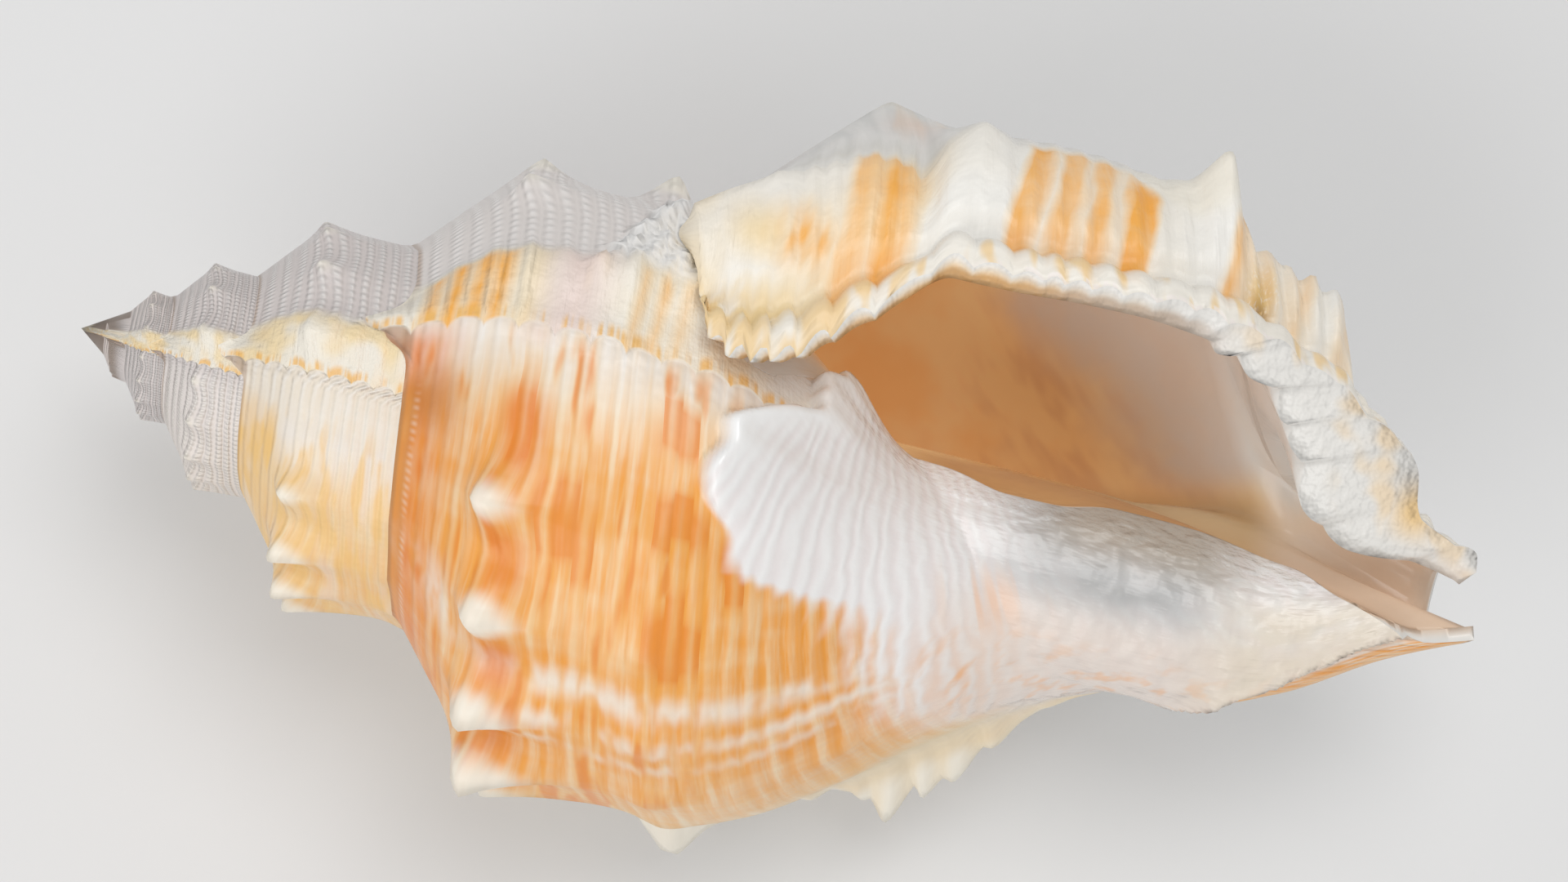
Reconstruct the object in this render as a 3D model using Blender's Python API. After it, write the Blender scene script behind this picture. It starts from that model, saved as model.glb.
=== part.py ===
"""A right-handed frog shell, lying on its back with its aperture up.

The whole shell is one closed skin: a coiled spire, the last whorl drawn out into an open canal,
and the hollow behind the aperture. Each point is found from its growth n, in turns back from the
lip (n = 0 at the lip, -1 one turn earlier), and its place a along the coil axis, in millimetres
from the apex. In the shell's own frame x runs along the axis, y is up and z faces the aperture.
"""

import bmesh
import bpy
import numpy as np
from mathutils import Matrix, Vector

LENGTH = 80.0               # apex to the tip of the canal, mm
WALL = 1.1                  # thickness of the whorl's wall, mm
LIP_AZIMUTH = -44.0         # degrees about the axis, 0 towards the aperture side, -90 up
FLATNESS = .85              # depth across the aperture against width
FIRST_TURN = -4             # growth at the start of the coil
KNOBS = 14                  # knobs in a turn
COLUMNS = 4 * KNOBS         # facets in a turn
SPIRE_ROWS = 6              # facets between two sutures
LAST_ROWS = 36              # facets from the suture to the canal's end
REST_ROLL = 175.2           # azimuth that faces down when the shell lies still, degrees
FLOOR_CUT = .05             # how far the knobs that it lies on are worn flat, mm

# Growth at each varix, the edge of an earlier lip, newest first.
VARICES = np.array([0, -.494, -.94, -1.413, -1.89, -2.38, -2.869, -3.36, -3.86, -4.36, -4.86])

# Count and azimuth of the shoulder knobs in each turn; the others are spaced evenly between these.
KNOB_PLACES = np.array([(-2, -44), (0, 13), (4, 112), (11, 293), (12, 316)])
VARIX_CREST = .065          # turns from a varix's crest to its edge

# Radius of the side below the shoulder, both in shoulder radii.
SIDE = [(-1, 1), (0, 1), (.3, 1.02), (.55, 1.02), (.68, 1), (.8, .95), (.95, .845), (1.1, .715), (1.25, .59),
        (1.4, .475), (1.55, .375), (1.75, .295), (2, .25), (2.4, .22), (4, .16)]
# The neck and canal in millimetres: outer radius, and how far their middle leaves the axis.
NECK = [(40, 5.0), (56, 5.2), (63, 4.97), (66.7, 4.5), (70.3, 3.7), (75.5, 2.75), (80.2, 1.9)]
DRIFT = [(60, 0), (66.7, .1), (70.3, .9), (75.5, 3.6), (78.2, 4.6), (80.2, 5.2)]
DRIFT_AZIMUTH = -65.0
# Azimuth of the inner lip, where the hollow starts, along the axis.
INNER_LIP = [(30, -44), (32.4, -44), (35, -30), (38, -31), (41.5, -48), (46, -60), (64, -60), (69, -56),
             (72, -25), (75.4, 20), (77.6, 55), (80, 70)]
# The outer lip's margin, from the suture to the canal (t, then x, y, z).
MARGIN = [(0, 34.0, 8.8, 15.3), (.05, 36.0, 7.7, 16.3), (.09, 38.6, 8.2, 16.6), (.15, 41.4, 10.7, 15.9),
          (.21, 43.8, 12.9, 15.7), (.27, 46.5, 15.6, 15.9), (.33, 49.7, 15.6, 17.2), (.41, 53.9, 15.9, 17.5),
          (.48, 57.3, 16.1, 17.3), (.53, 59.6, 16.2, 16.6), (.59, 62.4, 15.3, 15.9), (.64, 65, 15.5, 14.8),
          (.69, 67.3, 14.9, 13.6), (.73, 69.2, 14.8, 12.5), (.78, 71.4, 13.7, 10.9), (.82, 73, 12.4, 9.5),
          (.87, 75.2, 10.6, 7.9), (.91, 76, 8.6, 7), (.95, 77.8, 7.5, 6.1), (.98, 79.3, 6.9, 5.4),
          (1, 79.0, 6.1, 5.1)]
# Inner edge of the lip's face, from the same start.
THROAT = [(0, 34.8, 8.6, 14.5), (.05, 37.0, 7.5, 15.0), (.09, 39.4, 8, 15.2), (.15, 41.8, 9.9, 14.6),
          (.21, 44, 12.0, 14.3), (.27, 46.6, 14.5, 14.7), (.33, 49.7, 14.6, 15.9), (.41, 53.9, 14.9, 16.2),
          (.48, 57.3, 15, 16), (.53, 59.5, 14.9, 15.3), (.59, 62, 14, 14.6), (.64, 64.2, 13.9, 13.4),
          (.69, 66.3, 12.6, 11.9), (.73, 68.1, 10.9, 10.4), (.78, 70, 8.4, 8.2), (.82, 71.5, 6.7, 6.6),
          (.87, 73.6, 6.1, 5.2), (.91, 75, 6.1, 4.6), (.95, 76.6, 5.9, 4.3), (.98, 77.8, 5.8, 4.2),
          (1, 78.3, 5.5, 4)]
SECTIONS = [-.13, -.2, -.29, -.4, -.52, -.65, -.78, -.9, -1.05, -1.2, -1.4]   # the hollow, growing inwards


def curve(points, x):
    """Smooth curve through (x, y) points that never swings past them."""
    px, py = np.array(points, float).T
    h = np.diff(px)
    d = np.diff(py) / h
    m = np.concatenate([d[:1], np.zeros(len(d) - 1), d[-1:]])
    same = d[:-1] * d[1:] > 0
    m[1:-1][same] = 2 * d[:-1][same] * d[1:][same] / (d[:-1] + d[1:])[same]
    x = np.clip(x, px[0], px[-1])
    i = np.clip(np.searchsorted(px, x) - 1, 0, len(h) - 1)
    t = (x - px[i]) / h[i]
    return ((2 * t**3 - 3 * t**2 + 1) * py[i] + (t**3 - 2 * t**2 + t) * h[i] * m[i]
            + (3 * t**2 - 2 * t**3) * py[i + 1] + (t**3 - t**2) * h[i] * m[i + 1])


def path(points, t):
    table = np.array(points)
    return np.stack([curve(table[:, (0, k)], t) for k in (1, 2, 3)], -1)


def step(a, b, x):
    t = np.clip((x - a) / (b - a), 0, 1)
    return t * t * (3 - 2 * t)


def bump(x, width):
    return np.exp(-(x / width) ** 2)


def degrees_at(n):
    return LIP_AZIMUTH + 360 * n


def shoulder_radius(n):
    m = n + .128
    return np.exp(3.127 + .4314 * m - .0204 * m * m)


def knob_count(n):
    """Knobs passed since the start of the coil; whole numbers lie on a knob."""
    turns = np.floor(n)
    return np.interp(degrees_at(n - turns), KNOB_PLACES[:, 1], KNOB_PLACES[:, 0]) + KNOBS * turns


def column_growth(count, turns):
    """Growth of each column of facets over this many turns up to 0, with four columns to a knob."""
    c = np.arange(count * turns + 1)
    index = -2 + (c % count) * KNOBS / count
    return (np.interp(index, KNOB_PLACES[:, 0], KNOB_PLACES[:, 1]) - LIP_AZIMUTH) / 360 + c // count - turns


def to_varix(n):
    """Turns since the last varix, and turns to the next one."""
    edges = VARICES[::-1]
    last = np.clip(np.searchsorted(edges, n, side="right") - 1, 0, len(edges) - 1)
    following = np.clip(np.searchsorted(edges, n, side="left"), 0, len(edges) - 1)
    return n - edges[last], edges[following] - n


def suture_trend(n):
    return 34.6 * np.exp(.6439 * n) * (1 - .033 * np.sin(np.radians(degrees_at(n)))) / 1.023


def suture(n):
    """Axial place of the seam with the older whorl; it climbs to a spur at each varix."""
    after, before = to_varix(n)
    climb = np.maximum(bump(before, .035), bump(after, .012))
    return suture_trend(n) - .09 * shoulder_radius(n) * climb


def shoulder(n):
    return suture_trend(n) + .35 * shoulder_radius(n)


def side_radius(n, a):
    r = shoulder_radius(n)
    return r * curve(SIDE, (a - shoulder(n)) / r)


def smooth_radius(n, a):
    """Radius of the whorl without its knobs and varices."""
    r = shoulder_radius(n)
    seam = suture(n)
    older = side_radius(n - 1, seam)
    ramp = older + (a - seam) * (1.06 * r - older) / (shoulder(n) - seam)
    side = side_radius(n, a)
    soft = .16 * r
    whorl = .5 * (ramp + side - np.sqrt((ramp - side) ** 2 + soft**2))
    start = .5 * (older + side_radius(n, seam) - np.sqrt((older - side_radius(n, seam)) ** 2 + soft**2))
    whorl = whorl + (older - start) * np.exp(-np.maximum(a - seam, 0) / (.1 * r))
    cap = curve(NECK, a) * (1 + 1.35 * step(-.5, -.03, n))
    room = step(60, 68, a)
    narrow = .5 * (whorl + cap - np.sqrt((whorl - cap) ** 2 + 1.5))
    return np.maximum(whorl * (1 - room) + narrow * room, curve(NECK, a) * (n > -1.3) * (a > 45) + .2)


def shield(n, a):
    """1 where the inner lip's glaze covers the last whorl, 0 where it is bare."""
    azimuth = degrees_at(n + 1)
    reach = curve([(33, -40), (36.5, -12), (38.5, 5), (42, 18), (45, 24), (48, 60), (52, 78), (58, 90),
                   (66, 80), (70, 45), (74, 26), (81, 24)], a)
    return step(4, -4, azimuth - reach) * (n > -1.2) * step(35.5, 37.5, a)


def relief(n, a):
    """Knobs, spines and varices, as a height above the whorl."""
    r = shoulder_radius(n)
    x = (a - shoulder(n)) / r
    after, before = to_varix(n)
    at_varix = bump(before - VARIX_CREST, .022)
    count = knob_count(n)
    turn = bump(count - np.round(count), .27)
    newest = step(-.12, -.05, n)
    row1 = turn * (bump(x + .02, .1) * (.115 - .1 * newest) + bump(x - .2, .13) * .09 * newest)
    row2 = turn * bump(x - .57, .09) * .03 * (1 - newest)
    row2 = row2 + at_varix * bump(x - .57 - .13 * newest, .075) * .14
    row3 = turn * bump(x - 1.08, .08) * .02 * (1 - newest)
    row3 = row3 + at_varix * bump(x - 1.1 - .03 * newest, .07) * .23
    ridge = bump(np.maximum(before - .05, 0), .035) * bump(np.minimum(before - .05, 0), .05)
    ridge = ridge * step(-.45, -.1, x) * step(1.75, 1.2, x) * .06
    height = (row1 + row2 + row3 + ridge) * r
    under_lip = step(29.5, 32, a) * step(-1.06, -1.02, n) * step(-.88, -.93, n)
    return height * (1 - shield(n, a)) * (1 - under_lip) * step(-.45, -.2, x)


def drift(n, a):
    return curve(DRIFT, a) * (1 - .45 * step(-.4, -.05, n))


def placed(n, a, r):
    """Points at growth n, axial place a and distance r from the middle."""
    w, d, off = np.radians(degrees_at(n)), np.radians(DRIFT_AZIMUTH), drift(n, a)
    return np.stack([a, -r * np.sin(w) - off * np.sin(d), r * np.cos(w) + off * np.cos(d)], -1)


def outside(n, a):
    return placed(n, a, smooth_radius(n, a) + relief(n, a))


def canal_end(q):
    """Axial place of the canal's end, notched between its two prongs."""
    return curve([(0, LENGTH), (.12, 79.4), (.3, 78), (.5, 77.5), (.75, 77.6), (.9, 78.3), (1, 79)], q)


def spire():
    """Rows of points from suture to suture, for each column of growth up to n = -1."""
    n = column_growth(COLUMNS, -1 - FIRST_TURN)[:, None] - 1
    ramp = SPIRE_ROWS // 3
    row = np.arange(SPIRE_ROWS + 1)[None, :]
    edge = shoulder(n)
    a = np.where(row < ramp, suture(n) + (edge - suture(n)) * row / ramp,
                 edge + (suture(n + 1) - edge) * (row - ramp) / (SPIRE_ROWS - ramp))
    a = a[:, :1] + (a - a[:, :1]) * np.clip(n - FIRST_TURN, 0, 1) ** .7
    points = outside(np.broadcast_to(n, a.shape), a)
    points[COLUMNS:, 0] = points[:-COLUMNS, -1]
    return points


def last_whorl(older):
    """Points of the last whorl, from the inner lip (q = 0) to the outer lip (q = 1)."""
    whole = column_growth(COLUMNS, 1)[:, None]
    q = whole + 1
    row = np.arange(LAST_ROWS + 1)[None, :]
    ramp = SPIRE_ROWS // 3
    high, edge, low = suture(-1.), shoulder(-1.), suture(0.)
    first = np.where(row < ramp, high + (edge - high) * row / ramp, edge + (low - edge) * (row - ramp) /
                     (SPIRE_ROWS - ramp))
    rest = low + (LENGTH - low) * (row - SPIRE_ROWS) / (LAST_ROWS - SPIRE_ROWS)
    first = np.where(row > SPIRE_ROWS, rest, first)
    share = (first - high) / (LENGTH - high) * (1 - q) + row / LAST_ROWS * q
    a = suture(whole) + (canal_end(q) - suture(whole)) * share
    shift = (curve(INNER_LIP, a) - LIP_AZIMUTH) / 360
    n = whole + np.where(row < SPIRE_ROWS, 0, shift) * (1 - q) ** (2 + 12 * step(71, 66, a))
    points = outside(n, a)
    lip = path(MARGIN, row[0] / LAST_ROWS)
    flare = np.clip((q - .885) / .115, 0, 1) ** 1.6
    points = points + flare[..., None] * (lip - points[-1])[None]
    points[0, :SPIRE_ROWS + 1] = older[-1]
    points[:, 0] = older[-COLUMNS - 1:, -1]
    points[-1, 0] = points[0, SPIRE_ROWS]
    return points, n, a


def section(n, count_in, count_end, count_out):
    """One slice of the hollow at growth n: down the inner wall, round the end, back up the outer wall."""
    r = shoulder_radius(n)
    top = suture(n) + .16 * r
    foot = curve([(-1.4, 33), (-1, 43), (-.64, 51), (-.37, 58), (-.2, 65), (-.13, 68)], n)
    bend = .28 * (foot - top)
    knee = foot - bend
    u_in = np.linspace(0, 1, count_in)
    turn = np.radians(25)
    down = np.concatenate([top + (knee + bend * np.sin(turn) - top) * u_in,
                           knee + bend * np.sin(np.linspace(turn, np.pi - turn, count_end + 2)[1:-1])])
    up = top + (knee + bend * np.sin(turn) - top) * np.linspace(1, 0, count_out)
    a = np.concatenate([down, up])
    side = np.concatenate([-np.ones(count_in), -np.cos(np.linspace(turn, np.pi - turn, count_end + 2)[1:-1]) /
                           np.cos(turn), np.ones(count_out)])
    near = np.maximum(smooth_radius(n - 1 + 0 * a, a), 1.2)
    far = np.maximum(smooth_radius(n + 0 * a, a) - WALL * r / 22, near + .3)
    room = np.sqrt(np.clip((a - top) / (.12 * (foot - top)), 0, 1))
    fit = np.sqrt(np.clip(1 - np.clip((a - knee) / bend, 0, 1) ** 2, 0, 1))
    mid = near + (far - near) * .5 * room
    half = (far - near) * .5 * room
    at_end = np.abs(side) < 1
    dist = mid + half * np.where(at_end, side * np.cos(turn), side * fit)
    azimuth = np.radians(degrees_at(n))
    return np.stack([a, -dist * np.sin(azimuth), dist * np.cos(azimuth)], -1)


def hollow(whorl, n, a):
    """Loops of points from the aperture's edge inwards."""
    inner, end, outer = whorl[0, SPIRE_ROWS:], whorl[1:-1, -1], whorl[-1, ::-1]
    rim = np.concatenate([inner, end, outer[:-1]])
    count = (len(inner), len(end), len(outer))
    deep = [section(g, *count)[:-1] for g in SECTIONS]

    # Just inside the edge: the inner wall follows the older whorl, the canal and the lip have thickness.
    place = a[0, SPIRE_ROWS:]
    azimuth = curve(INNER_LIP, np.maximum(place, 33.5))
    reach = (degrees_at(SECTIONS[0]), deep[0][:len(inner), 0])
    loops = [rim]
    shares = ((.12, 0), (.34, .2), (.56, .42), (.78, .7))
    for share, _ in shares:
        w = azimuth + (reach[0] - azimuth) * share
        g = (w - LIP_AZIMUTH) / 360 - 1
        b = place + (reach[1] - place) * share
        loops.append(placed(g, b, smooth_radius(g, b)))
    away = np.array([-.6, 0, 0])
    throat = path(THROAT, np.linspace(1, 0, LAST_ROWS + 1))
    middle = np.array([0, curve(DRIFT, 78.) * .9, curve(DRIFT, 78.) * .42])
    floor = end + away + (middle - end) * np.array([0, .4, .4])
    corner = step(.3, .08, np.linspace(1, 0, LAST_ROWS + 1))[:, None]
    for k, (early, share) in enumerate(shares, 1):
        straight_in = inner + away * 2 + (middle - inner) * np.array([0, .3, .3])
        straight_in = straight_in + (deep[0][:len(inner)] - straight_in) * share
        bare = step(66, 72, place)[:, None]
        first = loops[k] * (1 - bare) + straight_in * bare
        second = floor + (deep[0][len(inner):len(inner) + len(end)] - floor) * share
        share = share + (early - share) * corner
        third = throat + (np.vstack([deep[0][len(inner) + len(end):], deep[0][:1]]) - throat) * share
        loops[k] = np.concatenate([first, second, third[:-1]])
    newest = loops[1:] + [d for g, d in zip(SECTIONS, deep) if g > -.95]
    oldest = [d for g, d in zip(SECTIONS, deep) if g < -.95]
    return np.array([rim] + [kept_in_wall(loop, len(rim) - count[2]) for loop in newest] + oldest)


def kept_in_wall(loop, lip_side):
    """The loop kept inside the outer wall, and its lip side kept clear of the older whorl."""
    a, d, n = loop[:, 0], np.radians(DRIFT_AZIMUTH), np.zeros(len(loop)) - .5
    for _ in range(3):
        off = drift(n, a)
        y, z = loop[:, 1] + off * np.sin(d), loop[:, 2] - off * np.cos(d)
        turn = (np.degrees(np.arctan2(-y, z)) - LIP_AZIMUTH + 60) % 360 - 60
        n = np.where(turn > 30, turn / 360 - 1, turn / 360)
    r = np.maximum(np.hypot(y, z), .01)
    most = np.where((n > -.92) & (n < -.06), smooth_radius(n, a) - .9, 99)
    least = np.where((np.arange(len(a)) >= lip_side) & (a < 55), smooth_radius(n - 1, a) + .7, 0)
    scale = np.maximum(np.minimum(r, most), np.minimum(least, most)) / r
    return loop + np.stack([0 * a, y * (scale - 1), z * (scale - 1)], -1)


def skin():
    """The vertices and faces of the closed shell, in millimetres."""
    older = spire()
    whorl, n, a = last_whorl(older)
    inside = hollow(whorl, n, a)
    sheets = [older, whorl, inside]
    points = np.concatenate([s.reshape(-1, 3) for s in sheets] + [[[0, 0, 0]], [inside[-1].mean(0)]])
    points = points * (1, 1, FLATNESS)
    faces, first = [], 0
    for sheet, loop in zip(sheets, (False, False, True)):
        cols, rows = sheet.shape[:2]
        for i in range(cols - 1):
            for j in range(rows if loop else rows - 1):
                p, q = first + i * rows + j, first + i * rows + (j + 1) % rows
                faces.append((p, q, q + rows, p + rows) if loop else (p, p + rows, q + rows, q))
        first += cols * rows
    wide = SPIRE_ROWS + 1
    start = [c * wide for c in range(COLUMNS, -1, -1)]
    faces += [(first, p, q) for p, q in zip(start, start[1:])]
    last = first - inside.shape[1]
    faces += [(first + 1, last + j, last + (j + 1) % inside.shape[1]) for j in range(inside.shape[1])]
    return points, faces


def shell_object():
    points, faces = skin()
    lie = Matrix.Rotation(np.radians(180 - REST_ROLL), 4, "X")
    mesh = bpy.data.meshes.new("shell")
    bm = bmesh.new()
    made = [bm.verts.new(lie @ Vector(p)) for p in points]
    for face in faces:
        bm.faces.new([made[k] for k in face])
    bmesh.ops.remove_doubles(bm, verts=bm.verts, dist=.004)
    bmesh.ops.triangulate(bm, faces=bm.faces)
    low = min(v.co.z for v in bm.verts) + FLOOR_CUT
    for v in bm.verts:
        v.co.z = max(v.co.z - low, 0)
    xs, ys = [v.co.x for v in bm.verts], [v.co.y for v in bm.verts]
    middle = Vector(((min(xs) + max(xs)) / 2, (min(ys) + max(ys)) / 2, 0))
    for v in bm.verts:
        v.co = (v.co - middle) * .001
    bm.to_mesh(mesh)
    bm.free()
    obj = bpy.data.objects.new("shell", mesh)
    bpy.context.scene.collection.objects.link(obj)
    return obj


def glaze():
    material = bpy.data.materials.new("shell")
    material.use_nodes = True
    surface = material.node_tree.nodes["Principled BSDF"]
    surface.inputs["Base Color"].default_value = (.74, .52, .33, 1)
    surface.inputs["Roughness"].default_value = .4
    surface.inputs["Metallic"].default_value = 0
    return material


for old in list(bpy.data.objects):
    bpy.data.objects.remove(old, do_unlink=True)
shell_object().data.materials.append(glaze())
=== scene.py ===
"""The looks of a frog shell: one finely modelled closed skin with its cords, beads and glaze.

Every point is found from its growth n, in turns back from the lip (n = 0 at the lip, -1 one turn
earlier), and its place a along the coil axis, in millimetres from the apex. In the shell's own
frame x runs along the axis, y is up and z faces the aperture.
"""

from types import SimpleNamespace

import bmesh
import bpy
import numpy as np
from mathutils import Matrix, Vector


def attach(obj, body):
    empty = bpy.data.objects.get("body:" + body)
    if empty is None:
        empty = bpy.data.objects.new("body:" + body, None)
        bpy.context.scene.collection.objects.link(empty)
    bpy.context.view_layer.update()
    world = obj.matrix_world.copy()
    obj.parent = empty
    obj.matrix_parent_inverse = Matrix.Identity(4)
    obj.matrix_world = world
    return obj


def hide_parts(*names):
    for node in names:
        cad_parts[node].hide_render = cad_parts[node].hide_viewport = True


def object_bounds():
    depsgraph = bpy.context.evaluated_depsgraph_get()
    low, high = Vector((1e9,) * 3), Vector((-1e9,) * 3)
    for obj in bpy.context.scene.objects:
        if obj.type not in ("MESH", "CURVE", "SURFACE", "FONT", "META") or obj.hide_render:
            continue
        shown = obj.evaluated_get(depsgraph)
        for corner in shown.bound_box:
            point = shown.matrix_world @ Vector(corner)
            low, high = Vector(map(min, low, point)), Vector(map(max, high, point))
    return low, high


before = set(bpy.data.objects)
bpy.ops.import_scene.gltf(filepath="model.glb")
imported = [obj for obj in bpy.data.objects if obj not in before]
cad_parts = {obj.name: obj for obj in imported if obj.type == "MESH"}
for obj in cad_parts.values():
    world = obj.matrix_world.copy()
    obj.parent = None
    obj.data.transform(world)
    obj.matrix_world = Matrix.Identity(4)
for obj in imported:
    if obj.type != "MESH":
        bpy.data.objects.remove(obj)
cad_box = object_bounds()

WALL = 1.1                  # thickness of the whorl's wall, mm
LIP_AZIMUTH = -44.0         # degrees about the axis, 0 towards the aperture side, -90 up
FLATNESS = .85              # depth across the aperture against width
MM = .001                   # a millimetre in metres
FIRST_TURN = -5             # growth at the start of the coil
KNOBS = 14                  # knobs in a turn
COLUMNS = 196               # facets in a turn
SPIRE_ROWS = 40             # facets between two sutures
LAST_ROWS = 208             # facets from the suture to the canal's end
REST_ROLL = 175.2           # azimuth that faces down when the shell lies still, degrees
MIDDLE = (40, 2.0725, -17.6424)   # what the shell's own frame is moved by to stand on the floor, mm
CORD = .062                 # from one spiral cord to the next, in shoulder radii
SLOPE = 14.5                # how far the axis falls to the right of the view, degrees
VIEW_HEIGHT = .2943         # from the coil's axis up to the camera, metres
VIEW_CENTRE = (39.9, 3.76, 0)     # the point of the shell's own frame that the camera looks at, mm
MERGED = .000004            # points nearer to each other than this are one, metres
LEFT_OUT = 9                # stands for a place far outside the glaze, mm
BUMP_OUTSIDE, BUMP_INSIDE = .00016, .0001   # height of the finest relief, metres
PAINTED_GLOW = .085        # strength of the painted glow that brightens the shaded hollow; the shell gives no light
OBJECT_PLACE, FACTOR = 3, 2   # outputs of the Texture Coordinate and Attribute nodes

# Growth at each varix, the edge of an earlier lip, newest first; the last lies before the coil's start.
VARICES = np.array([0, -.494, -.94, -1.413, -1.89, -2.38, -2.869, -3.36, -3.86, -4.36, -4.86, -5.36])

# Count and azimuth of the shoulder knobs in each turn; the others are spaced evenly between these.
KNOB_PLACES = np.array([(-2, -44), (0, 11), (1, 32), (2, 54), (3, 72), (4, 93), (11, 293), (12, 316)])

# Radius of the side below the shoulder, both in shoulder radii.
SIDE = [(-1, 1), (0, 1), (.3, 1.02), (.55, 1.02), (.68, 1), (.8, .95), (.95, .845), (1.1, .715),
        (1.25, .59), (1.4, .475), (1.55, .375), (1.75, .295), (2, .25), (2.4, .22), (4, .16)]
# The neck and canal in millimetres: outer radius, and how far their middle leaves the axis.
NECK = [(40, 5.0), (56, 5.2), (63, 4.97), (66.7, 4.5), (70.3, 3.7), (75.5, 2.75), (80.2, 1.9)]
DRIFT = [(60, 0), (66.7, .1), (70.3, .9), (75.5, 3.6), (78.2, 4.6), (80.2, 5.2)]
DRIFT_AZIMUTH = -65.0
# Azimuth of the inner lip, where the hollow starts, along the axis.
INNER_LIP = [(30, -44), (32.4, -44), (35, -30), (38, -31), (41.5, -48), (46, -60), (49, -58), (52.7, -47),
             (55.6, -48), (59, -60), (64, -63), (69, -56), (72, -25), (75.4, 20), (77.6, 55), (80, 70)]
# Where the inner lip's glaze begins, by azimuth, and the azimuth it reaches down to, by axial place.
SHIELD_LEFT = [(-70, 42.5), (-45, 41.2), (-33, 40.9), (-27, 40.3), (-23, 39.2), (-20, 38.1), (-14, 36.6),
               (-4, 36), (5, 38), (14, 38.8), (18, 42), (22, 45), (40, 47.5), (60, 50), (80, 53), (100, 57),
               (160, 64), (300, 90)]
SHIELD_UNDER = [(50, 110), (58, 104), (64, 92), (67, 66), (70, 47), (74, 33), (81, 29)]
# Places along the axis of the teeth of the outer lip's edge.
TEETH = [33.4, 34.6, 35.8, 37, 38.2, 39.5, 41, 42.9, 45.3, 47.4, 49.6, 51.2, 52.4, 53.9, 55.6, 57.4, 59.5,
         61.4, 63.8, 66, 68.2, 70.4, 72.6, 75, 77.4, 79]
# How far they reach past the edge, in millimetres, along the axis.
TOOTH_REACH = [(34, .6), (36, 1.4), (40, 1.3), (43, 1), (46, .75), (50, .55), (60, .5), (66, .3), (79, .25)]
# The outer lip's margin, from the suture to the canal (t, then x, y, z).
MARGIN = [(0, 34.0, 8.8, 15.3), (.05, 36.0, 7.7, 16.3), (.09, 38.6, 8.2, 16.6), (.15, 41.4, 10.7, 15.9),
          (.21, 43.8, 12.9, 15.7), (.27, 46.5, 15.6, 15.9), (.33, 49.7, 15.6, 17.2), (.41, 53.9, 15.9, 17.5),
          (.48, 57.3, 16.1, 17.3), (.53, 59.6, 16.2, 16.6), (.59, 62.2, 15.7, 15.9),
          (.64, 64.2, 15.7, 14.8), (.69, 66.4, 14.8, 13.4), (.73, 68.3, 14.4, 12.3), (.78, 70.3, 13.1, 10.9),
          (.82, 72.2, 12.4, 9.7), (.87, 74.1, 10.8, 8), (.91, 74.7, 8.9, 7.1), (.95, 76.4, 7.7, 6.3),
          (.98, 78.6, 7.3, 5.6), (1, 78.9, 6.4, 5.2)]
# Inner edge of the lip's face, from the same start.
THROAT = [(0, 34.8, 8.6, 14.5), (.05, 37.0, 7.5, 15.0), (.09, 39.4, 8, 15.2), (.15, 41.8, 9.9, 14.6),
          (.21, 44, 12.0, 14.3), (.27, 46.6, 14.5, 14.7), (.33, 49.7, 14.6, 15.9), (.41, 53.9, 14.9, 16.2),
          (.48, 57.2, 15, 16), (.53, 59.2, 14.9, 15.3), (.6, 61, 14.7, 15), (.66, 62.6, 14.4, 14.4),
          (.7, 63.9, 13.8, 13.4), (.735, 65.3, 13.2, 12.3), (.76, 66.1, 12.2, 11.3), (.79, 66.7, 11.2, 10.5),
          (.82, 67.5, 10.5, 9.9), (.85, 68, 9.4, 9.2), (.88, 68.9, 7.6, 8), (.905, 70.2, 6.5, 6.9),
          (.93, 72.2, 6.1, 5.8), (.955, 74.2, 6.1, 4.9), (.98, 76.3, 5.9, 4.4), (1, 77.9, 5.6, 4.1)]
# Crest of the outer lip's varix above each row of that margin, without its spines.
LIP_CREST = [(0, 31.7, 14.8, 12), (.05, 34.2, 16.6, 11.5), (.09, 36.4, 17.8, 11), (.15, 39.8, 19.3, 10.8),
             (.2, 42.4, 19.9, 10.6), (.23, 43.8, 19.4, 10.4), (.252, 44.8, 21.6, 10.4),
             (.29, 46.6, 22.8, 10.4), (.325, 48.2, 22.4, 10.3), (.39, 51.2, 22.7, 10.3),
             (.44, 53.4, 22.6, 10.2), (.49, 55.8, 22.3, 10),
             (.535, 57.9, 22.3, 9.9), (.6, 60.4, 21.9, 9.6), (.63, 61.8, 20.5, 9.3), (.68, 64.3, 19.6, 8.8),
             (.71, 66.1, 19.2, 8.4), (.74, 67.7, 19, 7.8), (.765, 68.7, 15.8, 7), (.79, 69.9, 13.9, 6.4),
             (.85, 72.6, 12.1, 5.8), (.9, 74.3, 9.4, 5.2), (.95, 76.5, 7.9, 4.8), (1, 78.6, 6.8, 4.6)]
# Spines and points on that crest: axial place, height, half width, in millimetres.
SPINES = [(59.6, 3.6, 1.15), (46.2, .5, 1.2), (63.6, .5, .5), (65.8, .4, .6), (69.2, .8, .4), (70.8, .7, .5),
          (73.2, .6, .6), (36, .35, .5), (40.6, .4, .8)]
# The hollow, growing inwards: first the steps from the aperture's edge, then whole slices.
ENTRY = [(.03, .35, 0), (.07, .7, 0), (.12, 1, 0), (.22, 1, .1), (.34, 1, .2), (.45, 1, .31), (.56, 1, .42),
         (.67, 1, .56), (.78, 1, .7), (.89, 1, .85)]
SECTIONS = [-.13, -.165, -.2, -.245, -.29, -.345, -.4, -.46, -.52, -.585, -.65, -.715, -.78, -.84, -.9,
            -1.05, -1.2, -1.4]


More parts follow.
